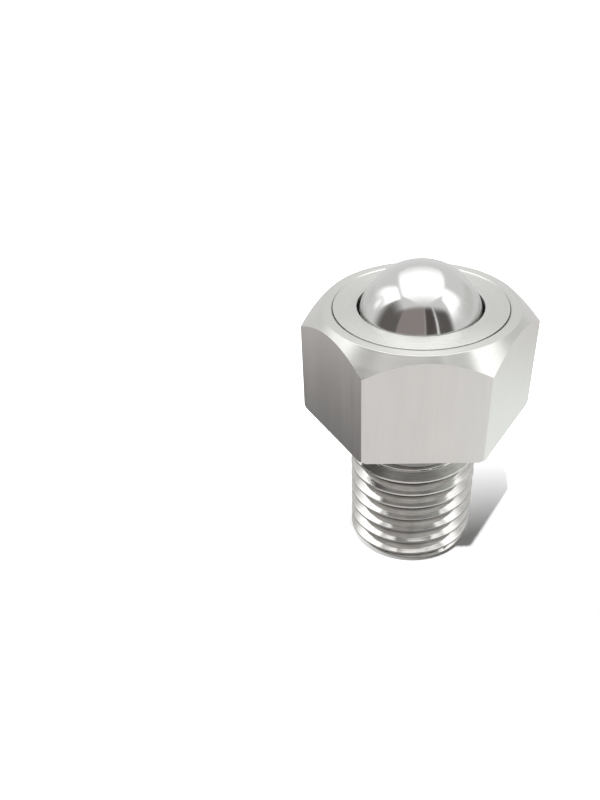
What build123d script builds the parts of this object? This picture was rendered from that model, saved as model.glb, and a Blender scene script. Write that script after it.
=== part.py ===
from build123d import *
from math import acos, asin, cos, degrees, floor, pi, radians, sin, sqrt, tan
import os

# Screw-in ball transfer unit. A load ball stands proud of a hexagonal body and rolls any way
# on rows of small support balls in a hardened cup, and the body screws down by its stud.
# Millimetres, +Z up, towards the load ball.
# Origin: on the stud's axis, in the plane of the body's underside, which is the seating face.

# Body: a hexagon and its stud, turned from one bar
across_flats = 36.0
hex_height = 20.5
top_face_diameter = 34.2
top_chamfer_angle = 45.0
seat_corner_break = 0.4
stud_diameter = 24.0
stud_length = 30.0
stud_end_chamfer = 1.7

# Balls
load_ball_diameter = 22.225
load_ball_protrusion = 7.4
support_ball_diameter = 3.175

# Cup that the support balls run in
cup_wall = 0.8
cup_rim_height = 0.5

# Retaining ring
mouth_overlap = 0.16
skirt_depth = 3.0
mouth_edge_break = 0.15
groove_edge_break = 0.15

# Clearances
ball_play = 0.03
ball_spacing_in_row = 0.3
row_spacing = 0.19
ring_play = 0.1
skirt_play = 0.1
press_seat = 0.01

# Worked out from the sizes above
corner_radius = across_flats / sqrt(3)
load_ball_radius = load_ball_diameter / 2
support_ball_radius = support_ball_diameter / 2
ball_centre = hex_height + load_ball_protrusion - load_ball_radius
support_circle_radius = load_ball_radius + ball_play + support_ball_radius
race_radius = support_circle_radius + support_ball_radius + ball_play
cup_radius = race_radius + cup_wall
pocket_radius = cup_radius + press_seat
cup_rim = ball_centre + cup_rim_height
ring_bore_radius = load_ball_radius + ring_play
mouth_radius = load_ball_radius - mouth_overlap
skirt_radius = race_radius - skirt_play
skirt_end = ball_centre - skirt_depth

os.makedirs("parts", exist_ok=True)


def keep(part, name):
    """Names a finished piece and writes it."""
    part.label = name
    export_step(part, f"parts/{name}.step")


# The body. A cone trims the hexagon's top to a round face, a small one breaks the seat's corners.
with BuildPart() as housing:
    with BuildSketch(Plane.XY):
        RegularPolygon(radius=across_flats / 2, side_count=6, major_radius=False)
    extrude(amount=hex_height)
    with BuildSketch(Plane.XZ):
        top_face_radius = top_face_diameter / 2
        chamfer_drop = (corner_radius - top_face_radius) * tan(radians(top_chamfer_angle))
        with BuildLine():
            Polyline(
                (top_face_radius, hex_height),
                (2 * corner_radius - top_face_radius, hex_height),
                (2 * corner_radius - top_face_radius, hex_height - 2 * chamfer_drop),
                close=True,
            )
        make_face()
        with BuildLine():
            Polyline(
                (corner_radius - seat_corner_break, 0),
                (corner_radius + seat_corner_break, 0),
                (corner_radius + seat_corner_break, 2 * seat_corner_break),
                close=True,
            )
        make_face()
    revolve(axis=Axis.Z, mode=Mode.SUBTRACT)
    # The stud, chamfered to lead its thread in
    with BuildSketch(Plane.XY):
        Circle(stud_diameter / 2)
    extrude(amount=-stud_length)
    chamfer(housing.edges().group_by(Axis.Z)[0], stud_end_chamfer)
    # The pocket: a bore with a hemispherical floor, its mouth's edge broken
    with BuildSketch(Plane.XZ):
        with BuildLine():
            floor_arc = CenterArc((0, ball_centre), pocket_radius, -90, 90)
            Polyline(floor_arc @ 1, (pocket_radius, hex_height), (0, hex_height), floor_arc @ 0)
        make_face()
    revolve(axis=Axis.Z, mode=Mode.SUBTRACT)
    mouth_edge = (
        housing.edges().filter_by(GeomType.CIRCLE).group_by(Axis.Z)[-1].sort_by(SortBy.RADIUS)[0]
    )
    chamfer(mouth_edge, groove_edge_break)
keep(housing.part, "housing")

# The hardened cup: a hemispherical shell with a short upright rim
with BuildPart() as race_cup:
    with BuildSketch(Plane.XZ):
        with BuildLine():
            outer_arc = CenterArc((0, ball_centre), cup_radius, -90, 90)
            inner_arc = CenterArc((0, ball_centre), race_radius, -90, 90)
            Line(outer_arc @ 0, inner_arc @ 0)
            Polyline(outer_arc @ 1, (cup_radius, cup_rim), (race_radius, cup_rim), inner_arc @ 1)
        make_face()
    revolve(axis=Axis.Z)
keep(race_cup.part, "race_cup")

# The retaining ring. Its flange lies on the cup's rim, flush with the body's top. Its mouth is
# narrower than the load ball and keeps it in, and its skirt keeps the support balls down.
with BuildPart() as retaining_ring:
    with BuildSketch(Plane.XZ):
        with BuildLine():
            mouth_angle = degrees(acos(mouth_radius / ring_bore_radius))
            skirt_angle = degrees(asin(skirt_depth / skirt_radius))
            lip_arc = CenterArc((0, ball_centre), ring_bore_radius, 0, mouth_angle)
            skirt_arc = CenterArc((0, ball_centre), skirt_radius, -skirt_angle, skirt_angle)
            Polyline(
                skirt_arc @ 1,
                (skirt_radius, cup_rim),
                (cup_radius, cup_rim),
                (cup_radius, hex_height),
                (mouth_radius, hex_height),
                lip_arc @ 1,
            )
            Polyline(lip_arc @ 0, (ring_bore_radius, skirt_end), skirt_arc @ 0)
        make_face()
    revolve(axis=Axis.Z)
    top_edges = retaining_ring.edges().group_by(Axis.Z)[-1].sort_by(SortBy.RADIUS)
    chamfer(top_edges[0], mouth_edge_break)
    chamfer(top_edges[-1], groove_edge_break)
keep(retaining_ring.part, "retaining_ring")

with BuildPart() as load_ball:
    with Locations((0, 0, ball_centre)):
        Sphere(load_ball_radius)
keep(load_ball.part, "load_ball")

# The support balls: one at the bottom, on the axis, then rows round it, as many as fit in each
# row and as many rows as fit under the ring's skirt.
with BuildPart() as bottom_support_ball:
    with Locations((0, 0, ball_centre - support_circle_radius)):
        Sphere(support_ball_radius)
keep(bottom_support_ball.part, "bottom_support_ball")

row_step = 2 * asin((support_ball_diameter + row_spacing) / 2 / support_circle_radius)
top_row_limit = acos((skirt_depth + support_ball_radius + ball_play) / support_circle_radius)
rows = floor(top_row_limit / row_step)

for row in range(1, rows + 1):
    row_radius = support_circle_radius * sin(row * row_step)
    row_level = ball_centre - support_circle_radius * cos(row * row_step)
    balls_in_row = floor(2 * pi * row_radius / (support_ball_diameter + ball_spacing_in_row))
    for number in range(1, balls_in_row + 1):
        turn = 2 * pi * number / balls_in_row
        with BuildPart() as support_ball:
            with Locations((row_radius * cos(turn), row_radius * sin(turn), row_level)):
                Sphere(support_ball_radius)
        keep(support_ball.part, f"support_ball_r{row}_{number:02d}")
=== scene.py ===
import math

import bpy
from bpy.props import FloatProperty, FloatVectorProperty, IntProperty, PointerProperty
from mathutils import Matrix, Vector


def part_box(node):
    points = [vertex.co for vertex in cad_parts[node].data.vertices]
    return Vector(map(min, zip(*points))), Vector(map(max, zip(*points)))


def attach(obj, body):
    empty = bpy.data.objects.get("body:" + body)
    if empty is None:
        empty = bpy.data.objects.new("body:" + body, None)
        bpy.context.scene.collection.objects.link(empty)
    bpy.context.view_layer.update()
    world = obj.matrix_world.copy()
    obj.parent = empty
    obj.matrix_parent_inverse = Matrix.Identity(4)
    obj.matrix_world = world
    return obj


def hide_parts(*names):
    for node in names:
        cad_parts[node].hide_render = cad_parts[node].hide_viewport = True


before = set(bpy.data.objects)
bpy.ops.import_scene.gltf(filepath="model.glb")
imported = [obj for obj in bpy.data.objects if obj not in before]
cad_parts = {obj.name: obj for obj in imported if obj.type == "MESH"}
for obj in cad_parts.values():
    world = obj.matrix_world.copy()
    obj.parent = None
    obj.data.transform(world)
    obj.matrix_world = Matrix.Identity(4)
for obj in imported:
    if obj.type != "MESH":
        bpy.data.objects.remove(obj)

bl_info = {
    "name": "Ball Transfer Unit",
    "version": (1, 0, 0),
    "blender": (4, 5, 0),
    "location": "3D View > Sidebar > Ball Unit",
    "description": "Models a screw-in ball transfer unit round its packed CAD frame",
    "category": "Object",
}

MM = 0.001
TURN = 2 * math.pi

# Vertices nearer than this are merged, and edges that turn by more than this stay sharp
DOUBLES = 0.0002 * MM
SHARP_EDGE = math.radians(32)

# Depth of a metric thread, as a part of its pitch
METRIC_DEPTH = 0.6134

# How much the height counts beside the radius in the order of the turned faces' tool marks
MARK_SLANT = 0.6

# What the CAD nodes say, in metres
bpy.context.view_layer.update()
HOUSING_LOW, HOUSING_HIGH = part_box("housing")
RING_LOW, RING_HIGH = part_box("retaining_ring")
BALL_LOW, BALL_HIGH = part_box("load_ball")
CUP_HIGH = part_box("race_cup")[1]

HEAD_TOP = HOUSING_HIGH.z
STUD_END = HOUSING_LOW.z
ACROSS_FLATS = HOUSING_HIGH.y - HOUSING_LOW.y
CORNER_RADIUS = ACROSS_FLATS / math.sqrt(3)
RING_RADIUS = RING_HIGH.x
RING_FOOT = RING_LOW.z
BALL_RADIUS = (BALL_HIGH.x - BALL_LOW.x) / 2
BALL_CENTRE = (BALL_HIGH.z + BALL_LOW.z) / 2
CUP_RIM = CUP_HIGH.z


# Settings that a user would change


class BallUnitSizes(bpy.types.PropertyGroup):
    """Sizes of the visual model that the CAD frame doesn't give."""

    top_face_radius: FloatProperty(
        name="Top face radius", description="Radius of the flat top inside the chamfer",
        default=17.1 * MM, min=0.0, subtype="DISTANCE", unit="LENGTH")
    corner_break: FloatProperty(
        name="Corner break", description="Bevel on the hexagon's upright corners",
        default=0.12 * MM, min=0.0, subtype="DISTANCE", unit="LENGTH")
    edge_break: FloatProperty(
        name="Edge break", description="Rounding of the turned edges",
        default=0.1 * MM, min=0.0, subtype="DISTANCE", unit="LENGTH")
    groove_break: FloatProperty(
        name="Groove break", description="Broken edge of the ring where it meets the body",
        default=0.06 * MM, min=0.0, subtype="DISTANCE", unit="LENGTH")
    pocket_break: FloatProperty(
        name="Pocket break", description="Width of the flat chamfer round the pocket",
        default=0.27 * MM, min=0.0, subtype="DISTANCE", unit="LENGTH")
    groove_width: FloatProperty(
        name="Groove width", description="Gap that shows between the ring and the body",
        default=0.13 * MM, min=0.0, subtype="DISTANCE", unit="LENGTH")
    seat_break: FloatProperty(
        name="Seat corner break", description="Cone that trims the corners of the underside",
        default=0.4 * MM, min=0.0, subtype="DISTANCE", unit="LENGTH")
    pocket_radius: FloatProperty(
        name="Pocket radius", description="Bore that the cup and the ring sit in",
        default=15.1575 * MM, min=0.0, subtype="DISTANCE", unit="LENGTH")
    mouth_radius: FloatProperty(
        name="Mouth radius", description="Opening of the retaining ring",
        default=10.9525 * MM, min=0.0, subtype="DISTANCE", unit="LENGTH")
    lip_radius: FloatProperty(
        name="Lip radius", description="Hollow of the ring round the load ball",
        default=11.2125 * MM, min=0.0, subtype="DISTANCE", unit="LENGTH")
    skirt_radius: FloatProperty(
        name="Skirt radius", description="Outer radius of the ring's skirt",
        default=14.2475 * MM, min=0.0, subtype="DISTANCE", unit="LENGTH")
    thread_radius: FloatProperty(
        name="Thread radius", description="Outer radius of the stud's thread",
        default=11.98 * MM, min=0.0, subtype="DISTANCE", unit="LENGTH")
    thread_pitch: FloatProperty(
        name="Thread pitch", description="Distance from one crest to the next",
        default=3.0 * MM, min=0.0005, subtype="DISTANCE", unit="LENGTH")
    crest_heading: FloatProperty(
        name="Crest heading", description="Where the thread's crest leaves the stud's end",
        default=math.radians(-72), subtype="ANGLE", unit="ROTATION")
    relief_radius: FloatProperty(
        name="Relief radius", description="Radius of the stud between the thread and the head",
        default=9.8 * MM, min=0.0, subtype="DISTANCE", unit="LENGTH")
    relief_width: FloatProperty(
        name="Relief width", description="Length of the stud between the thread and the head",
        default=7.6 * MM, min=0.0, subtype="DISTANCE", unit="LENGTH")
    thread_steps: IntProperty(
        name="Thread steps", description="Steps in each turn of the thread",
        default=144, min=24, max=360)
    end_chamfer: FloatProperty(
        name="End chamfer", description="Chamfer that leads the thread in",
        default=1.7 * MM, min=0.0, subtype="DISTANCE", unit="LENGTH")
    segments: IntProperty(
        name="Segments", description="Steps round the turned faces",
        default=240, min=48, max=720)
    ball_cuts: IntProperty(
        name="Ball cuts", description="Cuts across each side of the cube that the ball is cast from",
        default=47, min=7, max=95)


class BallUnitFinishes(bpy.types.PropertyGroup):
    """Colours and roughness of the metals."""

    flat_colour: FloatVectorProperty(
        name="Flats", description="Steel of the hexagon's drawn flats",
        default=(0.60, 0.585, 0.565), size=3, min=0.0, max=1.0, subtype="COLOR")
    turned_colour: FloatVectorProperty(
        name="Turned faces", description="Steel of the chamfer, the top and the ring",
        default=(0.60, 0.60, 0.58), size=3, min=0.0, max=1.0, subtype="COLOR")
    thread_colour: FloatVectorProperty(
        name="Thread", description="Steel of the stud",
        default=(0.585, 0.575, 0.555), size=3, min=0.0, max=1.0, subtype="COLOR")
    ball_colour: FloatVectorProperty(
        name="Balls", description="Polished bearing steel",
        default=(0.598, 0.60, 0.592), size=3, min=0.0, max=1.0, subtype="COLOR")
    cup_colour: FloatVectorProperty(
        name="Cup", description="Hardened and ground steel",
        default=(0.48, 0.47, 0.46), size=3, min=0.0, max=1.0, subtype="COLOR")
    flat_roughness: FloatProperty(
        name="Flats' roughness", description="Roughness of the drawn flats",
        default=0.34, min=0.0, max=1.0, subtype="FACTOR")
    turned_roughness: FloatProperty(
        name="Turned roughness", description="Roughness of the turned faces",
        default=0.24, min=0.0, max=1.0, subtype="FACTOR")
    ring_roughness: FloatProperty(
        name="Ring's roughness", description="Roughness of the retaining ring",
        default=0.26, min=0.0, max=1.0, subtype="FACTOR")
    thread_roughness: FloatProperty(
        name="Thread's roughness", description="Roughness of the stud",
        default=0.08, min=0.0, max=1.0, subtype="FACTOR")
    ball_roughness: FloatProperty(
        name="Balls' roughness", description="Roughness of the polished balls",
        default=0.1, min=0.0, max=1.0, subtype="FACTOR")
    cup_roughness: FloatProperty(
        name="Cup's roughness", description="Roughness of the ground cup",
        default=0.3, min=0.0, max=1.0, subtype="FACTOR")


class BallUnitStudio(bpy.types.PropertyGroup):
    """The floor, the light and the camera."""

    floor_colour: FloatVectorProperty(
        name="Floor", description="Colour of the floor",
        default=(0.92, 0.92, 0.92), size=3, min=0.0, max=1.0, subtype="COLOR")
    sky_strength: FloatProperty(
        name="Room light", description="Strength of the even light of the room",
        default=0.19, min=0.0)
    key_strength: FloatProperty(
        name="Key light", description="Strength of the light from above, which draws the shadow",
        default=3.05, min=0.0)
    key_heading: FloatProperty(
        name="Key heading", description="Direction that the key light goes in, seen from above",
        default=math.radians(82), subtype="ANGLE", unit="ROTATION")
    key_height: FloatProperty(
        name="Key height", description="Height of the key light above the horizon",
        default=math.radians(69.6), subtype="ANGLE", unit="ROTATION")
    key_softness: FloatProperty(
        name="Key softness", description="Angle that the key light covers",
        default=math.radians(1.5), min=0.0, subtype="ANGLE", unit="ROTATION")
    softbox_strength: FloatProperty(
        name="Softboxes", description="Brightness of the soft lights seen in the metal",
        default=2.6, min=0.0)


# Meshes


def clear_selection():
    """Leaves edit mode with nothing selected."""
    if bpy.context.mode != "OBJECT":
        bpy.ops.object.mode_set(mode="OBJECT")
    bpy.ops.object.select_all(action="DESELECT")
    bpy.context.view_layer.objects.active = None


def pick(piece):
    """Makes a piece the only selected object."""
    clear_selection()
    piece.select_set(True)
    bpy.context.view_layer.objects.active = piece


def named(piece, name):
    """Gives a piece and its mesh one name."""
    piece.name = name
    piece.data.name = name
    return piece


def draw_profile(name, points):
    """A chain of edges in the XZ plane, one vertex extruded from point to point."""
    clear_selection()
    bpy.ops.mesh.primitive_plane_add(size=MM)
    piece = named(bpy.context.object, name)
    bpy.ops.object.mode_set(mode="EDIT")
    bpy.ops.mesh.select_mode(type="VERT")
    bpy.ops.mesh.select_all(action="SELECT")
    bpy.ops.mesh.merge(type="CENTER")
    bpy.ops.mesh.select_all(action="SELECT")
    bpy.ops.transform.translate(value=(points[0][0], 0, points[0][1]))
    for here, there in zip(points, points[1:]):
        step = (there[0] - here[0], 0, there[1] - here[1])
        bpy.ops.mesh.extrude_region_move(TRANSFORM_OT_translate={"value": step})
    bpy.ops.object.mode_set(mode="OBJECT")
    return piece


def tidy_shell(piece):
    """Merges doubles and turns all faces outwards."""
    pick(piece)
    bpy.ops.object.mode_set(mode="EDIT")
    bpy.ops.mesh.select_all(action="SELECT")
    bpy.ops.mesh.remove_doubles(threshold=DOUBLES)
    bpy.ops.mesh.normals_make_consistent(inside=False)
    bpy.ops.object.mode_set(mode="OBJECT")


def turn_piece(name, points, steps):
    """Spins a profile of (radius, height) points about the unit's axis."""
    piece = draw_profile(name, points)
    pick(piece)
    bpy.ops.object.mode_set(mode="EDIT")
    bpy.ops.mesh.select_all(action="SELECT")
    bpy.ops.mesh.spin(steps=steps, angle=TURN, center=(0, 0, 0), axis=(0, 0, 1))
    bpy.ops.object.mode_set(mode="OBJECT")
    tidy_shell(piece)
    return piece


def combine(piece, tool, operation):
    """Joins or cuts a piece with a tool, and throws the tool away."""
    pick(piece)
    bpy.ops.object.modifier_add(type="BOOLEAN")
    change = piece.modifiers[-1]
    change.operation = operation
    change.solver = "EXACT"
    change.object = tool
    bpy.ops.object.modifier_apply(modifier=change.name)
    bpy.data.meshes.remove(tool.data)
    if not piece.data.polygons:
        raise RuntimeError(f"Nothing is left of {piece.name} after its boolean")


def arc(centre, radius, start, end, steps):
    """Points on an arc in the profile's plane, with angles in degrees."""
    angles = [math.radians(start + (end - start) * i / steps) for i in range(steps + 1)]
    return [(centre[0] + radius * math.cos(a), centre[1] + radius * math.sin(a)) for a in angles]


def smooth(piece):
    """Smooth shading, with normals that keep the broad faces flat up to their broken edges."""
    pick(piece)
    bpy.ops.object.shade_smooth_by_angle(angle=SHARP_EDGE)
    bpy.ops.object.modifier_add(type="WEIGHTED_NORMAL")
    change = piece.modifiers[-1]
    change.keep_sharp = True
    change.weight = 100
    bpy.ops.object.modifier_apply(modifier=change.name)


def give_material(piece, material, wanted=None):
    """Puts a material on the faces that wanted(face) picks, or on all of them."""
    mesh = piece.data
    mesh.materials.append(material)
    if wanted is None:
        return
    pick(piece)
    bpy.ops.object.mode_set(mode="EDIT")
    bpy.ops.mesh.select_mode(type="FACE")
    bpy.ops.mesh.select_all(action="DESELECT")
    bpy.ops.object.mode_set(mode="OBJECT")
    for face in mesh.polygons:
        face.select = wanted(face)
    bpy.ops.object.mode_set(mode="EDIT")
    piece.active_material_index = len(mesh.materials) - 1
    bpy.ops.object.material_slot_assign()
    bpy.ops.object.mode_set(mode="OBJECT")


# Materials


class Nodes:
    """Adds and links the nodes of one material or world."""

    def __init__(self, owner):
        owner.use_nodes = True
        self.tree = owner.node_tree
        self.tree.nodes.clear()

    def add(self, kind, inputs=None, **settings):
        """A node with its settings, and its inputs fed by number or name."""
        node = self.tree.nodes.new(kind)
        for key, value in settings.items():
            setattr(node, key, value)
        for key, value in (inputs or {}).items():
            self.feed(node.inputs[key], value)
        return node

    def feed(self, socket, value):
        """Links a socket to another, or sets its value."""
        if isinstance(value, bpy.types.NodeSocket):
            self.tree.links.new(value, socket)
        else:
            socket.default_value = value

    def math(self, operation, *values):
        """The values put through one operation."""
        return self.add("ShaderNodeMath", dict(enumerate(values)), operation=operation).outputs[0]

    def product(self, first, *others):
        """All the values times each other."""
        for other in others:
            first = self.math("MULTIPLY", first, other)
        return first

    def scaled(self, vector, factor):
        """A vector or a colour times a factor."""
        inputs = {0: vector, "Scale": factor}
        return self.add("ShaderNodeVectorMath", inputs, operation="SCALE").outputs["Vector"]

    def distance(self, x, y):
        """How far (x, y) lies from the upright axis through zero."""
        inputs = {0: self.combine(x, y, 0.0)}
        return self.add("ShaderNodeVectorMath", inputs, operation="LENGTH").outputs["Value"]

    def combine(self, x, y, z):
        """A vector of three values."""
        return self.add("ShaderNodeCombineXYZ", {"X": x, "Y": y, "Z": z}).outputs[0]

    def noise(self, where, scale, detail=3.0, rough=0.5):
        """Soft noise from 0 to 1, in as many features to the unit as the scale says."""
        inputs = {"Vector": where, "Scale": scale, "Detail": detail, "Roughness": rough}
        return self.add("ShaderNodeTexNoise", inputs).outputs["Fac"]

    def spread(self, value, low, high, low_in=0.3, high_in=0.7):
        """From low to high while the value goes from low_in to high_in, and steady beyond."""
        inputs = {"Value": value, "From Min": low_in, "From Max": high_in, "To Min": low, "To Max": high}
        return self.add("ShaderNodeMapRange", inputs).outputs["Result"]

    def output(self, shader, kind="ShaderNodeOutputMaterial"):
        """Makes a shader the surface of the material or the world."""
        self.add(kind, {"Surface": shader.outputs[0]})


def steel(name):
    """The steel of that name, made when it is first asked for. Its pattern gives a factor for the
    colour, the roughness, the height and depth of its bump, and the direction of its lines."""
    material = bpy.data.materials.get(name)
    if material:
        return material
    finishes = bpy.context.scene.ball_unit_finishes
    colour_name, roughness_name, anisotropy, pattern = STEELS[name]
    colour, roughness = tuple(getattr(finishes, colour_name)), getattr(finishes, roughness_name)
    material = bpy.data.materials.new(name)
    nodes = Nodes(material)
    where = nodes.scaled(nodes.add("ShaderNodeTexCoord").outputs["Object"], 1 / MM)
    shade, rough, height, tangent, depth = pattern(nodes, where, roughness)
    bump = nodes.add("ShaderNodeBump", {"Height": height, "Strength": 1.0, "Distance": depth})
    nodes.output(nodes.add("ShaderNodeBsdfPrincipled", {
        "Base Color": nodes.scaled(colour, shade), "Metallic": 1.0, "Roughness": rough,
        "Anisotropic": anisotropy, "Normal": bump.outputs[0], "Tangent": tangent}))
    material.diffuse_color = (*colour, 1.0)
    material.metallic = 1.0
    material.roughness = roughness
    return material


def drawn_pattern(nodes, where, roughness):
    """Fine upright lines on bar stock, with long soft streaks and a few stains."""
    x, y, z = nodes.add("ShaderNodeSeparateXYZ", {0: where}).outputs
    # Noise drawn out along Z makes upright lines
    fine = nodes.noise(nodes.combine(x, y, nodes.product(z, 0.02)), 5.0, 4.0, 0.6)
    broad = nodes.noise(nodes.combine(x, y, nodes.product(z, 0.08)), 0.7)
    stain = nodes.noise(where, 0.16)
    shade = nodes.product(
        nodes.spread(fine, 0.98, 1.02), nodes.spread(broad, 0.98, 1.02), nodes.spread(stain, 0.985, 1.015))
    rough = nodes.spread(broad, roughness - 0.03, roughness + 0.03)
    return shade, rough, fine, nodes.combine(nodes.product(y, -1.0), x, 0.0), 0.0014 * MM


def turned_pattern(nodes, where, roughness):
    """Circular tool marks, by the distance from the axis and the height."""
    x, y, z = nodes.add("ShaderNodeSeparateXYZ", {0: where}).outputs
    radius = nodes.distance(x, y)
    across = nodes.math("SUBTRACT", radius, nodes.product(z, MARK_SLANT))
    # Noise that changes mostly across the marks makes rings
    fine = nodes.noise(nodes.combine(
        nodes.product(across, 6.0), nodes.product(x, 0.02), nodes.product(y, 0.02)), 1.6, 4.0, 0.6)
    broad = nodes.noise(nodes.combine(
        nodes.product(across, 0.8), nodes.product(x, 0.05), nodes.product(y, 0.05)), 1.0)
    cloud = nodes.noise(where, 0.12)
    shade = nodes.product(
        nodes.spread(fine, 0.985, 1.015), nodes.spread(broad, 0.98, 1.02), nodes.spread(cloud, 0.99, 1.01))
    rough = nodes.spread(broad, roughness - 0.03, roughness + 0.03)
    return shade, rough, fine, nodes.combine(x, y, nodes.product(radius, -0.3)), 0.0015 * MM


def thread_pattern(nodes, where, roughness):
    """Lines drawn out along the turns by the threading tool, over painted shade in the root and on the neck
    under the head.
    """
    x, y, z = nodes.add("ShaderNodeSeparateXYZ", {0: where}).outputs
    radius = nodes.distance(x, y)
    across = nodes.math("SUBTRACT", radius, nodes.product(z, MARK_SLANT))
    # Noise that changes mostly across the turns makes lines along them
    lines = nodes.noise(nodes.combine(
        nodes.product(across, 2.2), nodes.product(x, 0.12), nodes.product(y, 0.12)), 1.3, 4.0, 0.65)
    cloud = nodes.noise(where, 0.35)
    # Painted shade: the colour darkens deep in the thread's root and on the neck under the head
    root = nodes.spread(radius, 0.25, 1.0, *ROOT_SHADE_CLEARS)
    neck_shade = nodes.product(
        nodes.spread(z, 0.0, 1.0, *NECK_SHADE_BEGINS), nodes.spread(radius, 0.42, 1.0, *NECK_SHADE_CLEARS))
    shade = nodes.product(
        nodes.spread(lines, 0.80, 1.10), nodes.spread(cloud, 0.88, 1.06), nodes.math("MAXIMUM", root, neck_shade))
    rough = nodes.spread(cloud, roughness - 0.03, roughness + 0.03)
    return shade, rough, lines, nodes.combine(x, y, 0.0), 0.007 * MM


def polished_pattern(nodes, where, roughness):
    """An even polish with a trace of haze."""
    haze = nodes.noise(where, 0.35)
    speck = nodes.noise(where, 3.0, 2.0)
    shade = nodes.spread(haze, 0.99, 1.01)
    rough = nodes.spread(haze, roughness - 0.015, roughness + 0.015)
    return shade, rough, speck, nodes.combine(0.0, 0.0, 1.0), 0.00001 * MM


# In millimetres: the radii over which the painted shade in the thread's root clears, the heights over which
# the painted shade of the neck under the head takes its place, and the radii over which the neck's own
# painted shade clears
ROOT_SHADE_CLEARS = 10.25, 10.75
NECK_SHADE_BEGINS = -9.3, -8.9
NECK_SHADE_CLEARS = 9.83, 9.95

# Each steel's colour and roughness among the finishes, its anisotropy and its pattern
STEELS = {
    "turned_steel": ("turned_colour", "turned_roughness", 0.85, turned_pattern),
    "fine_turned_steel": ("turned_colour", "ring_roughness", 0.85, turned_pattern),
    "drawn_steel": ("flat_colour", "flat_roughness", 0.6, drawn_pattern),
    "thread_steel": ("thread_colour", "thread_roughness", 0.0, thread_pattern),
    "ball_steel": ("ball_colour", "ball_roughness", 0.0, polished_pattern),
    "small_ball_steel": ("ball_colour", "ball_roughness", 0.0, polished_pattern),
    "ground_cup_steel": ("cup_colour", "cup_roughness", 0.6, turned_pattern),
}


# The pieces


def hexagon_head(sizes):
    """The hexagon, two of its corners on the X axis, with its upright edges broken."""
    clear_selection()
    bpy.ops.mesh.primitive_cylinder_add(
        vertices=6, radius=CORNER_RADIUS, depth=HEAD_TOP,
        location=(0, 0, HEAD_TOP / 2), rotation=(0, 0, math.radians(30)))
    head = named(bpy.context.object, "threaded_body")
    bpy.ops.object.transform_apply(location=True, rotation=True, scale=True)
    bpy.ops.object.mode_set(mode="EDIT")
    bpy.ops.mesh.select_mode(type="EDGE")
    bpy.ops.mesh.select_all(action="DESELECT")
    bpy.ops.object.mode_set(mode="OBJECT")
    for edge in head.data.edges:
        a, b = (head.data.vertices[i].co for i in edge.vertices)
        edge.select = abs(a.z - b.z) > HEAD_TOP / 2
    bpy.ops.object.mode_set(mode="EDIT")
    bpy.ops.mesh.bevel(offset=sizes.corner_break, segments=3, affect="EDGES")
    bpy.ops.object.mode_set(mode="OBJECT")
    return head


def lathe_turning(sizes):
    """What the lathe leaves of the bar: the top face, its chamfer and the seat's broken corners."""
    top, wide, ease = sizes.top_face_radius, CORNER_RADIUS + MM, sizes.edge_break
    return turn_piece("turning", [
        (0, 0), (CORNER_RADIUS - sizes.seat_break, 0),
        (wide, wide - CORNER_RADIUS + sizes.seat_break),
        (wide, HEAD_TOP - (wide - top)), (top + 0.5 * ease, HEAD_TOP - 0.5 * ease),
        (top + 0.1 * ease, HEAD_TOP - 0.2 * ease), (top - 0.4 * ease, HEAD_TOP),
        (0, HEAD_TOP)], sizes.segments)


def ball_pocket(sizes):
    """The bore with its hemispherical floor, a little wider and chamfered where the ring ends."""
    bore, broken = sizes.pocket_radius, sizes.pocket_break
    lip, drop = bore + 0.5 * sizes.groove_width, 0.7 * broken
    return turn_piece("pocket", [
        *arc((0, BALL_CENTRE), bore, -90, 0, 24),
        (bore, HEAD_TOP - MM), (lip, HEAD_TOP - 0.9 * MM), (lip, HEAD_TOP - drop),
        (lip + 2 * broken, HEAD_TOP + drop), (0, HEAD_TOP + drop)], sizes.segments)


def thread_profile(sizes):
    """One pitch of a 60 degree thread, from root to root, as (radius, height)."""
    pitch, crest = sizes.thread_pitch, sizes.thread_radius
    root = crest - METRIC_DEPTH * pitch
    rise = math.tan(math.radians(30))
    crest_edge = pitch / 2 - pitch / 16
    ease, fillet = 0.03 * MM, 0.25 * MM
    # The rounded root, the flank and the eased crest
    half = [
        (root, 0.0), (root + 0.02 * MM, 0.11 * MM), (root + 0.1 * MM, 0.2 * MM),
        (root + fillet, crest_edge - (crest - root - fillet) * rise),
        (crest - ease, crest_edge - ease * rise), (crest, crest_edge + ease)]
    return half + [(r, pitch - z) for r, z in reversed(half)]


def screwed_stud(sizes):
    """The stud's thread: one pitch screwed up the axis, right-handed, and cut a little over length."""
    pitch = sizes.thread_pitch
    # It starts well below the stud's end, turned so that the crest leaves the end at its heading
    foot = STUD_END - sizes.crest_heading / TURN * pitch - 2.5 * pitch
    stud = draw_profile("stud", [(r, foot + z) for r, z in thread_profile(sizes)])
    pick(stud)
    bpy.ops.object.modifier_add(type="SCREW")
    screw = stud.modifiers[-1]
    screw.axis = "Z"
    screw.angle = TURN
    screw.screw_offset = pitch
    screw.iterations = math.ceil(-foot / pitch) + 1
    screw.steps = screw.render_steps = sizes.thread_steps
    bpy.ops.object.modifier_apply(modifier=screw.name)
    bpy.ops.object.mode_set(mode="EDIT")
    bpy.ops.mesh.select_all(action="SELECT")
    bpy.ops.mesh.remove_doubles(threshold=DOUBLES)
    for height, above in ((0.6 * MM, True), (STUD_END - 0.4 * MM, False)):
        bpy.ops.mesh.select_all(action="SELECT")
        bpy.ops.mesh.bisect(
            plane_co=(0, 0, height), plane_no=(0, 0, 1), use_fill=True,
            clear_outer=above, clear_inner=not above, threshold=1e-8)
    bpy.ops.object.mode_set(mode="OBJECT")
    tidy_shell(stud)
    return stud


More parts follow.
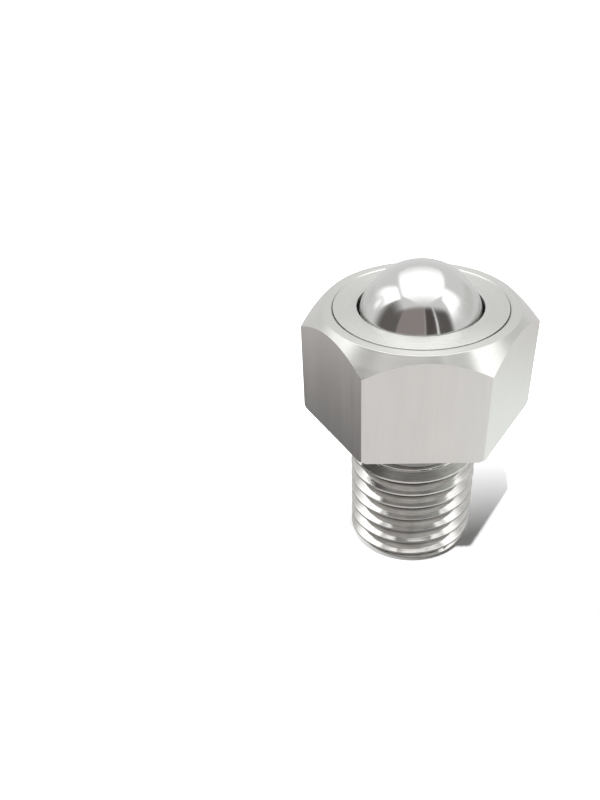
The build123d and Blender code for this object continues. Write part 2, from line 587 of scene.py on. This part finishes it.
def stud_limits(sizes):
    """A rod that cuts the stud's end chamfer, and the relief that the thread runs out into."""
    crest, ease = sizes.thread_radius, sizes.edge_break
    tip, relief, width = crest - sizes.end_chamfer, sizes.relief_radius, sizes.relief_width
    return turn_piece("rod", [
        (0, STUD_END), (tip - 0.5 * ease, STUD_END), (tip + 0.3 * ease, STUD_END + 0.3 * ease),
        (crest + MM, STUD_END + sizes.end_chamfer + MM), (crest + MM, -width - 1.4 * MM),
        (relief, 0.4 * MM - width), (relief, 0.5 * MM), (0, 0.5 * MM)], sizes.segments)


class BALLUNIT_OT_body(bpy.types.Operator):
    """Model the hexagonal body with its threaded stud"""

    bl_idname = "ballunit.body"
    bl_label = "Threaded body"

    def execute(self, context):
        sizes = context.scene.ball_unit_sizes
        body = hexagon_head(sizes)
        combine(body, lathe_turning(sizes), "INTERSECT")
        combine(body, ball_pocket(sizes), "DIFFERENCE")
        stud = screwed_stud(sizes)
        combine(stud, stud_limits(sizes), "INTERSECT")
        combine(body, stud, "UNION")
        tidy_shell(body)
        smooth(body)

        # The flats are drawn, the stud is threaded, and all else is turned
        flat_limit = CORNER_RADIUS * 0.8
        give_material(body, steel("turned_steel"))
        give_material(body, steel("drawn_steel"), lambda face: (
            abs(face.normal.z) < 0.05 and face.center.xy.length > flat_limit))
        give_material(body, steel("thread_steel"), lambda face: (
            face.center.z < -0.01 * MM and face.center.xy.length < flat_limit))
        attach(body, "housing")
        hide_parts("housing")
        return {"FINISHED"}


class BALLUNIT_OT_ring(bpy.types.Operator):
    """Model the retaining ring"""

    bl_idname = "ballunit.ring"
    bl_label = "Retaining ring"

    def execute(self, context):
        sizes = context.scene.ball_unit_sizes
        mouth, lip, skirt = sizes.mouth_radius, sizes.lip_radius, sizes.skirt_radius
        eased, rim = sizes.groove_break, RING_RADIUS - 0.5 * sizes.groove_width
        mouth_angle = math.degrees(math.acos(mouth / lip))
        skirt_angle = math.degrees(math.asin((BALL_CENTRE - RING_FOOT) / skirt))
        centre = (0, BALL_CENTRE)
        profile = [
            *arc(centre, skirt, -skirt_angle, 0, 6), (skirt, CUP_RIM), (RING_RADIUS, CUP_RIM),
            (RING_RADIUS, HEAD_TOP - MM), (rim, HEAD_TOP - 0.9 * MM),
            (rim, HEAD_TOP - eased), (rim - 0.3 * eased, HEAD_TOP - 0.35 * eased), (rim - eased, HEAD_TOP),
            (mouth + eased, HEAD_TOP), (mouth + 0.3 * eased, HEAD_TOP - 0.3 * eased),
            (mouth, HEAD_TOP - eased), *arc(centre, lip, mouth_angle, 0, 8), (lip, RING_FOOT)]
        ring = turn_piece("turned_ring", [*profile, profile[0]], sizes.segments)
        smooth(ring)
        give_material(ring, steel("fine_turned_steel"))
        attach(ring, "housing")
        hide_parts("retaining_ring")
        return {"FINISHED"}


class BALLUNIT_OT_ball(bpy.types.Operator):
    """Model the polished load ball"""

    bl_idname = "ballunit.ball"
    bl_label = "Load ball"

    def execute(self, context):
        clear_selection()
        bpy.ops.mesh.primitive_cube_add(size=BALL_RADIUS)
        ball = named(bpy.context.object, "polished_ball")
        bpy.ops.object.mode_set(mode="EDIT")
        bpy.ops.mesh.select_all(action="SELECT")
        bpy.ops.mesh.subdivide(number_cuts=context.scene.ball_unit_sizes.ball_cuts)
        bpy.ops.object.mode_set(mode="OBJECT")
        bpy.ops.object.modifier_add(type="CAST")
        cast = ball.modifiers[-1]
        cast.cast_type = "SPHERE"
        cast.factor = 1.0
        cast.use_radius_as_size = False
        cast.size = BALL_RADIUS
        cast.radius = 0.0
        bpy.ops.object.modifier_apply(modifier=cast.name)
        bpy.ops.object.mode_set(mode="EDIT")
        bpy.ops.mesh.select_all(action="SELECT")
        bpy.ops.transform.translate(value=(0, 0, BALL_CENTRE))
        bpy.ops.object.mode_set(mode="OBJECT")
        tidy_shell(ball)
        pick(ball)
        bpy.ops.object.shade_smooth()
        give_material(ball, steel("ball_steel"))
        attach(ball, "load_ball")
        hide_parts("load_ball")
        return {"FINISHED"}


class BALLUNIT_OT_race(bpy.types.Operator):
    """Finish the cup and the support balls, which keep their CAD shapes"""

    bl_idname = "ballunit.race"
    bl_label = "Cup and support balls"

    def execute(self, context):
        for name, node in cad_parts.items():
            if name == "race_cup":
                finish = steel("ground_cup_steel")
            elif "support_ball" in name:
                finish = steel("small_ball_steel")
            else:
                continue
            for slot in node.material_slots:
                slot.material = finish
        return {"FINISHED"}


# The stage

# The soft lights and flags stand round the load ball, their places and half sides given as parts
# of this length in metres
REACH = 0.5

# The floor's size, and its level a hair under the stud's end
FLOOR_RADIUS = 6.0
FLOOR_LEVEL = STUD_END - 0.02 * MM

# The middle of the floor's patch without the white glow, and the distances from it over which the
# glow sets in
GLOW_CENTRE = 20 * MM, -18.7 * MM
GLOW_FADE = 17 * MM, 43 * MM

# Where the painted shade and light of the mirrored floor change: the first four are distances from the
# unit's axis, the others places along X or Y
UNDER_HEAD = 22 * MM, 32 * MM
NEAR_FLOOR = 74 * MM, 137 * MM
LEFT_DARKENS = 27 * MM, 39 * MM
LEFT_CLEARS = 42 * MM, 68 * MM
BEHIND = 0.0, 60 * MM
RIGHT_SIDE = 12 * MM, 40 * MM
RIGHT_BACK = 30 * MM, 60 * MM
LEFT_SIDE = -30 * MM, -17 * MM
LEFT_FRONT = -22 * MM, -11 * MM

# The camera that fits the photograph: its place and turn, its lens and its upward shift
CAMERA_PLACE = (
    (0.998288, 0.009878, 0.057649, -0.012623),
    (0.037610, 0.646431, -0.762045, -0.132459),
    (-0.044794, 0.762908, 0.644953, 0.088959),
    (0, 0, 0, 1))
CAMERA_LENS = 37.885
CAMERA_SHIFT = 0.125


def mirrored_floor(nodes, x, y):
    """The floor as the metal mirrors it, a glow with painted shade and light: a painted shadow that makes
    it darker under the head, painted shade behind, a painted dark reflection at the left, and painted light
    that makes it brighter at the right."""
    reach = nodes.distance(x, y)
    near = nodes.spread(reach, 1.0, 0.0, *NEAR_FLOOR)
    behind = nodes.spread(y, 1.0, 0.85, *BEHIND)
    right = nodes.product(
        nodes.spread(x, 0.0, 1.0, *RIGHT_SIDE), near, nodes.spread(y, 1.0, 0.0, *RIGHT_BACK))
    left = nodes.product(
        nodes.spread(x, 1.0, 0.0, *LEFT_SIDE), near, nodes.spread(y, 0.0, 1.0, *LEFT_FRONT))
    # Painted dark reflection at the left, darkest a little way out from the axis
    painted_left_shade = nodes.math("MAXIMUM", nodes.spread(reach, 0.5, 0.13, *LEFT_DARKENS),
                     nodes.spread(reach, 0.13, 0.31, *LEFT_CLEARS))
    # Painted light: a brighter tone at the right
    tone = nodes.add("ShaderNodeMix", {
        0: right, 6: (1.0, 0.98, 0.98, 1.0), 7: (1.24, 1.31, 1.28, 1.0)}, data_type="RGBA").outputs[2]
    # Painted shadow: the glow is darker under the head
    level = nodes.product(
        nodes.spread(reach, 0.40, 1.0, *UNDER_HEAD),
        nodes.add("ShaderNodeMix", {0: left, 2: behind, 3: painted_left_shade}).outputs[0])
    return nodes.add("ShaderNodeEmission", {"Color": tone, "Strength": level})


def lay_floor(studio):
    """A pale floor that takes the shadow, and glows white to the camera away from the stud's foot."""
    clear_selection()
    bpy.ops.mesh.primitive_circle_add(
        vertices=96, radius=FLOOR_RADIUS, fill_type="NGON", location=(0, 0, FLOOR_LEVEL))
    floor = named(bpy.context.object, "floor")
    bpy.ops.object.transform_apply(location=True, rotation=True, scale=True)
    material = bpy.data.materials.new("pale_floor")
    nodes = Nodes(material)
    paths = nodes.add("ShaderNodeLightPath").outputs
    place = nodes.add("ShaderNodeTexCoord").outputs["Object"]
    x, y = nodes.add("ShaderNodeSeparateXYZ", {0: place}).outputs[:2]
    aside = nodes.distance(
        nodes.math("SUBTRACT", x, GLOW_CENTRE[0]), nodes.math("SUBTRACT", y, GLOW_CENTRE[1]))
    glow = nodes.product(nodes.spread(aside, 0.0, 1.0, *GLOW_FADE), paths["Is Camera Ray"])
    matt = nodes.add("ShaderNodeBsdfDiffuse", {"Color": (*studio.floor_colour, 1.0)})
    white = nodes.add("ShaderNodeEmission", {"Strength": glow})
    seen = nodes.add("ShaderNodeAddShader", {0: matt.outputs[0], 1: white.outputs[0]})
    nodes.output(nodes.add("ShaderNodeMixShader", {
        0: paths["Is Glossy Ray"], 1: seen.outputs[0], 2: mirrored_floor(nodes, x, y).outputs[0]}))
    floor.data.materials.append(material)


def light_room(studio):
    """A room that is white where it is seen, a little less where it is mirrored, and gives an even
    low light elsewhere."""
    world = bpy.data.worlds.new("white_room")
    bpy.context.scene.world = world
    nodes = Nodes(world)
    paths = nodes.add("ShaderNodeLightPath").outputs
    seen = nodes.math("MAXIMUM", nodes.math("MAXIMUM", paths["Is Camera Ray"], paths["Is Glossy Ray"]),
                      paths["Is Transmission Ray"])
    bright = nodes.math("SUBTRACT", 1.0, nodes.product(paths["Is Glossy Ray"], 0.07))
    strength = nodes.spread(seen, studio.sky_strength, bright, 0.0, 1.0)
    glow = nodes.add("ShaderNodeBackground", {"Color": (1, 1, 1, 1), "Strength": strength})
    nodes.output(glow, "ShaderNodeOutputWorld")


def place_sun(studio):
    """The key light, which draws the shadow. It lights the floor alone: the metal mirrors the cards
    and the room."""
    heading, height = studio.key_heading, studio.key_height
    aim = Vector((math.cos(heading), math.sin(heading), 0)) * math.cos(height)
    aim.z = -math.sin(height)
    bpy.ops.object.light_add(type="SUN", location=-aim)
    sun = bpy.context.object
    sun.name = "key_light"
    sun.rotation_euler = aim.to_track_quat("-Z", "Y").to_euler()
    sun.data.energy = studio.key_strength
    sun.data.angle = studio.key_softness
    sun.visible_glossy = False


def soft_card_material(name, colour, strength, shares):
    """A card's even glow, which fades out towards its left, right, low and high edges over shares
    of its width and height."""
    material = bpy.data.materials.new(name)
    nodes = Nodes(material)
    uv = nodes.add("ShaderNodeTexCoord").outputs["UV"]
    u, v = nodes.add("ShaderNodeSeparateXYZ", {0: uv}).outputs[:2]
    edges = []
    for value, share in zip((u, nodes.math("SUBTRACT", 1.0, u), v, nodes.math("SUBTRACT", 1.0, v)), shares):
        inputs = {"Value": value, "From Min": 0.0, "From Max": share, "To Min": 0.0, "To Max": 1.0}
        ramp = nodes.add("ShaderNodeMapRange", inputs, interpolation_type="SMOOTHSTEP")
        edges.append(ramp.outputs["Result"])
    glow = nodes.add("ShaderNodeEmission", {"Color": (*colour, 1.0), "Strength": strength})
    clear = nodes.add("ShaderNodeBsdfTransparent")
    nodes.output(nodes.add("ShaderNodeMixShader", {
        0: nodes.product(*edges), 1: clear.outputs[0], 2: glow.outputs[0]}))
    return material


def place_card(name, centre, across, up, colour, strength, shares, corners=0.0):
    """A card that only the metal sees, placed round the load ball. Its edges fade out over their
    shares, and a length may be cut off its two low corners."""
    clear_selection()
    bpy.ops.mesh.primitive_plane_add(size=2.0)
    card = named(bpy.context.object, name)
    across, up = Vector(across) * REACH, Vector(up) * REACH
    facing = across.cross(up).normalized()
    middle = Vector(centre) * REACH + Vector((0, 0, BALL_CENTRE))
    # The plane's own axes become across, up and the way it faces
    card.data.transform(Matrix((
        (across.x, up.x, facing.x, middle.x), (across.y, up.y, facing.y, middle.y),
        (across.z, up.z, facing.z, middle.z), (0, 0, 0, 1))))
    if corners:
        bpy.ops.object.mode_set(mode="EDIT")
        bpy.ops.mesh.select_mode(type="VERT")
        bpy.ops.object.mode_set(mode="OBJECT")
        lowest = sorted(card.data.vertices, key=lambda vertex: vertex.co.dot(up))[:2]
        low_numbers = [vertex.index for vertex in lowest]
        for vertex in card.data.vertices:
            vertex.select = vertex.index in low_numbers
        bpy.ops.object.mode_set(mode="EDIT")
        bpy.ops.mesh.bevel(offset=corners, affect="VERTICES", segments=1)
        bpy.ops.object.mode_set(mode="OBJECT")
    card.data.materials.append(soft_card_material(name, colour, strength, shares))
    card.visible_camera = card.visible_diffuse = card.visible_shadow = False


def place_lights(soft):
    """The soft lights that the metal mirrors, each at its share of the softboxes' brightness."""
    white = (1.0, 1.0, 1.0)
    place_card("light_core", (0.02, 0.34, 0.985), (0.55, 0, 0), (0, 0.50, 0),
               white, soft, (0.25, 0.25, 0.25, 0.25))
    place_card("light_overhead", (0.05, 0.60, 1.0), (0.68, 0, 0), (0, 1.25, 0),
               white, 0.70 * soft, (0.10, 0.10, 0.24, 0.62), corners=0.31)
    place_card("light_left", (-1.0, 0.42, 0.93), (0, 0.53, 0), (0, -0.19, 0.68),
               white, 0.82 * soft, (0.05, 0.45, 0.5, 0.1))
    place_card("light_left_low", (-1.0, 0.31, 0.42), (0, 0.16, 0), (0, 0, 0.24),
               white, 0.60 * soft, (0.4, 0.4, 0.4, 0.4))
    place_card("light_right", (1.0, -0.08, 0.88), (0, -0.45, 0), (0, 0.10, 0.70),
               white, 0.76 * soft, (0.4, 0.03, 0.5, 0.08))
    place_card("light_strip", (0.545, -1.0, 0.55), (0.026, 0, 0), (0, 0, 0.55),
               white, 0.50 * soft, (0.3, 0.3, 0.1, 0.1))


def place_flags():
    """The dark flags in front and at the left, and two walls a little darker than the room."""
    place_card("flag_front", (-0.88, -1.0, 0.92), (1.0, 0, 0), (0, 0, 0.92),
               (0.38, 0.335, 0.325), 1.0, (0.3, 0.02, 0.1, 0.29))
    place_card("flag_front_dark", (0.30, -0.99, 0.88), (0.205, 0, 0), (0, 0, 0.86),
               (0.12, 0.10, 0.095), 1.0, (0.1, 0.02, 0.1, 0.29))
    place_card("flag_front_right", (1.22, -1.0, 0.90), (0.64, 0, 0), (0, 0, 0.90),
               (0.15, 0.14, 0.135), 1.0, (0.02, 0.5, 0.1, 0.42))
    place_card("flag_front_left", (-1.02, -0.41, 0.86), (0, 0.60, 0), (0, 0, 0.88),
               (0.175, 0.16, 0.15), 1.0, (0.05, 0.34, 0.05, 0.62))
    place_card("wall_right", (1.0, 0.55, 0.27), (0, -0.75, 0), (0, 0, 0.27),
               (0.80, 0.81, 0.78), 1.0, (0.25, 0.25, 0.2, 0.4))
    place_card("wall_left", (-1.0, 1.15, 0.15), (0, 0.60, 0), (0, 0, 0.25),
               (0.84, 0.85, 0.82), 1.0, (0.3, 0.3, 0.3, 0.4))


def place_camera():
    """The camera, where the photograph was taken from."""
    bpy.ops.object.camera_add()
    camera = bpy.context.object
    camera.name = "camera"
    camera.matrix_world = Matrix(CAMERA_PLACE)
    camera.data.sensor_fit = "AUTO"
    camera.data.sensor_width = 36.0
    camera.data.lens = CAMERA_LENS
    camera.data.shift_y = CAMERA_SHIFT
    camera.data.clip_start, camera.data.clip_end = 0.005, 30.0
    bpy.context.scene.camera = camera


class BALLUNIT_OT_stage(bpy.types.Operator):
    """Set the floor, the soft lights, the flags and the camera"""

    bl_idname = "ballunit.stage"
    bl_label = "Studio"

    def execute(self, context):
        studio = context.scene.ball_unit_studio
        lay_floor(studio)
        light_room(studio)
        place_sun(studio)
        place_lights(studio.softbox_strength)
        place_flags()
        place_camera()
        context.scene.view_settings.view_transform = "Standard"
        return {"FINISHED"}


class BALLUNIT_PT_panel(bpy.types.Panel):
    """Lists the unit's sizes, finishes and pieces"""

    bl_idname = "BALLUNIT_PT_panel"
    bl_label = "Ball transfer unit"
    bl_space_type = "VIEW_3D"
    bl_region_type = "UI"
    bl_category = "Ball Unit"

    def draw(self, context):
        layout = self.layout
        scene = context.scene
        for title, group in (("Sizes", scene.ball_unit_sizes), ("Finishes", scene.ball_unit_finishes),
                             ("Studio", scene.ball_unit_studio)):
            box = layout.box()
            box.label(text=title)
            for name in group.__annotations__:
                box.prop(group, name)
        column = layout.column(align=True)
        for operator in OPERATORS:
            column.operator(operator.bl_idname)


OPERATORS = (BALLUNIT_OT_body, BALLUNIT_OT_ring, BALLUNIT_OT_ball, BALLUNIT_OT_race, BALLUNIT_OT_stage)
GROUPS = {
    "ball_unit_sizes": BallUnitSizes,
    "ball_unit_finishes": BallUnitFinishes,
    "ball_unit_studio": BallUnitStudio,
}


def register():
    for cls in (*GROUPS.values(), *OPERATORS, BALLUNIT_PT_panel):
        bpy.utils.register_class(cls)
    for name, group in GROUPS.items():
        setattr(bpy.types.Scene, name, PointerProperty(type=group))


def unregister():
    for name in GROUPS:
        delattr(bpy.types.Scene, name)
    for cls in reversed((*GROUPS.values(), *OPERATORS, BALLUNIT_PT_panel)):
        bpy.utils.unregister_class(cls)


def main():
    register()
    bpy.ops.ballunit.body()
    bpy.ops.ballunit.ring()
    bpy.ops.ballunit.ball()
    bpy.ops.ballunit.race()
    bpy.ops.ballunit.stage()


if __name__ == "__main__":
    main()
